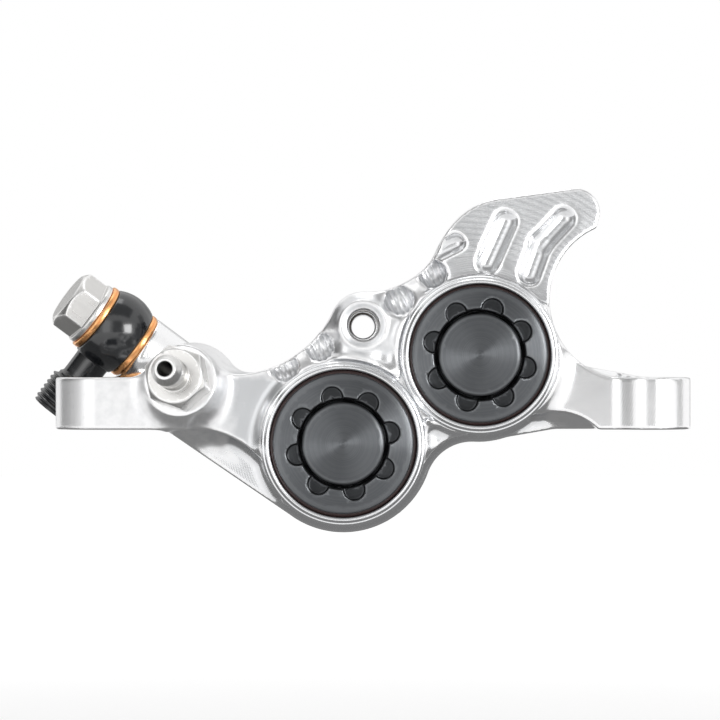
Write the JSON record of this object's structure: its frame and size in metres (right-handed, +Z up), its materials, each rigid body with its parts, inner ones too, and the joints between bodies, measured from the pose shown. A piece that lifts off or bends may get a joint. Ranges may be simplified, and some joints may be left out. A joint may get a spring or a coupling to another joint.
{
  "type": "bicycle disc brake caliper",
  "caption": "Post-mount hydraulic disc brake caliper: polished one-piece body with lobed bore caps, sliding pistons and pads, banjo hose fitting and bleed nipple.",
  "frame": {"origin": "midway between the two mounting bolt slots, on the plane of the mounting seats", "axes": "+X along the line of the two mounting bolts towards the finned end, +Y from the outboard face to the wheel, +Z up from the mounting seats"},
  "size_m": [0.0895, 0.0543, 0.0464],
  "materials": {
    "body": "polished, milled",
    "cap": "dark anodised, turned",
    "o_ring": "smooth",
    "piston": "ground",
    "insulator": "moulded",
    "seal": "smooth",
    "pad_plate": "blanked",
    "lining": "sintered",
    "stainless": "turned",
    "copper": "bright",
    "banjo": "gloss black anodised"
  },
  "bodies": {
    "body": {"caliper_body": "body", "large_bore_cap": "cap", "small_bore_cap": "cap", "large_cap_o_ring": "o_ring", "small_cap_o_ring": "o_ring", "outboard_large_seal": "seal", "outboard_small_seal": "seal", "inboard_large_seal": "seal", "inboard_small_seal": "seal", "banjo_bolt": "stainless", "head_copper_washer": "copper", "body_copper_washer": "copper"},
    "outboard_large_piston": {"outboard_large_piston": "piston", "outboard_large_insulator": "insulator"},
    "outboard_small_piston": {"outboard_small_piston": "piston", "outboard_small_insulator": "insulator"},
    "inboard_large_piston": {"inboard_large_piston": "piston", "inboard_large_insulator": "insulator"},
    "inboard_small_piston": {"inboard_small_piston": "piston", "inboard_small_insulator": "insulator"},
    "outboard_pad": {"outboard_pad_plate": "pad_plate", "outboard_pad_lining": "lining"},
    "inboard_pad": {"inboard_pad_plate": "pad_plate", "inboard_pad_lining": "lining"},
    "banjo": {"banjo_fitting": "banjo"},
    "nipple": {"bleed_nipple": "stainless"}
  },
  "joints": [
    {"name": "outboard_large_piston_slide", "type": "slide", "parent": "body", "child": "outboard_large_piston", "axis": [0, 1, 0], "range_m": [0, 0.0018]},
    {"name": "outboard_small_piston_slide", "type": "slide", "parent": "body", "child": "outboard_small_piston", "axis": [0, 1, 0], "range_m": [0, 0.0018]},
    {"name": "inboard_large_piston_slide", "type": "slide", "parent": "body", "child": "inboard_large_piston", "axis": [0, -1, 0], "range_m": [0, 0.0018]},
    {"name": "inboard_small_piston_slide", "type": "slide", "parent": "body", "child": "inboard_small_piston", "axis": [0, -1, 0], "range_m": [0, 0.0018]},
    {"name": "outboard_pad_slide", "type": "slide", "parent": "body", "child": "outboard_pad", "axis": [0, 1, 0], "range_m": [0, 0.0018]},
    {"name": "inboard_pad_slide", "type": "slide", "parent": "body", "child": "inboard_pad", "axis": [0, -1, 0], "range_m": [0, 0.0018]},
    {"name": "banjo_swivel", "type": "hinge", "parent": "body", "child": "banjo", "pos_m": [-0.0357, 0.0135, 0.0133], "axis": [0.7822, 0.2079, -0.5873], "range_deg": [0, 120]},
    {"name": "nipple_turn", "type": "hinge", "parent": "body", "child": "nipple", "pos_m": [-0.02563, -0.0095, 0.00663], "axis": [-0.1598, -0.9753, 0.1526], "range_deg": [0, 180]}
  ],
  "couplings": [
    {"joint": "outboard_small_piston_slide", "follows": "outboard_large_piston_slide", "ratio": 1},
    {"joint": "inboard_large_piston_slide", "follows": "outboard_large_piston_slide", "ratio": 1},
    {"joint": "inboard_small_piston_slide", "follows": "outboard_large_piston_slide", "ratio": 1},
    {"joint": "outboard_pad_slide", "follows": "outboard_large_piston_slide", "ratio": 1},
    {"joint": "inboard_pad_slide", "follows": "outboard_large_piston_slide", "ratio": 1}
  ]
}
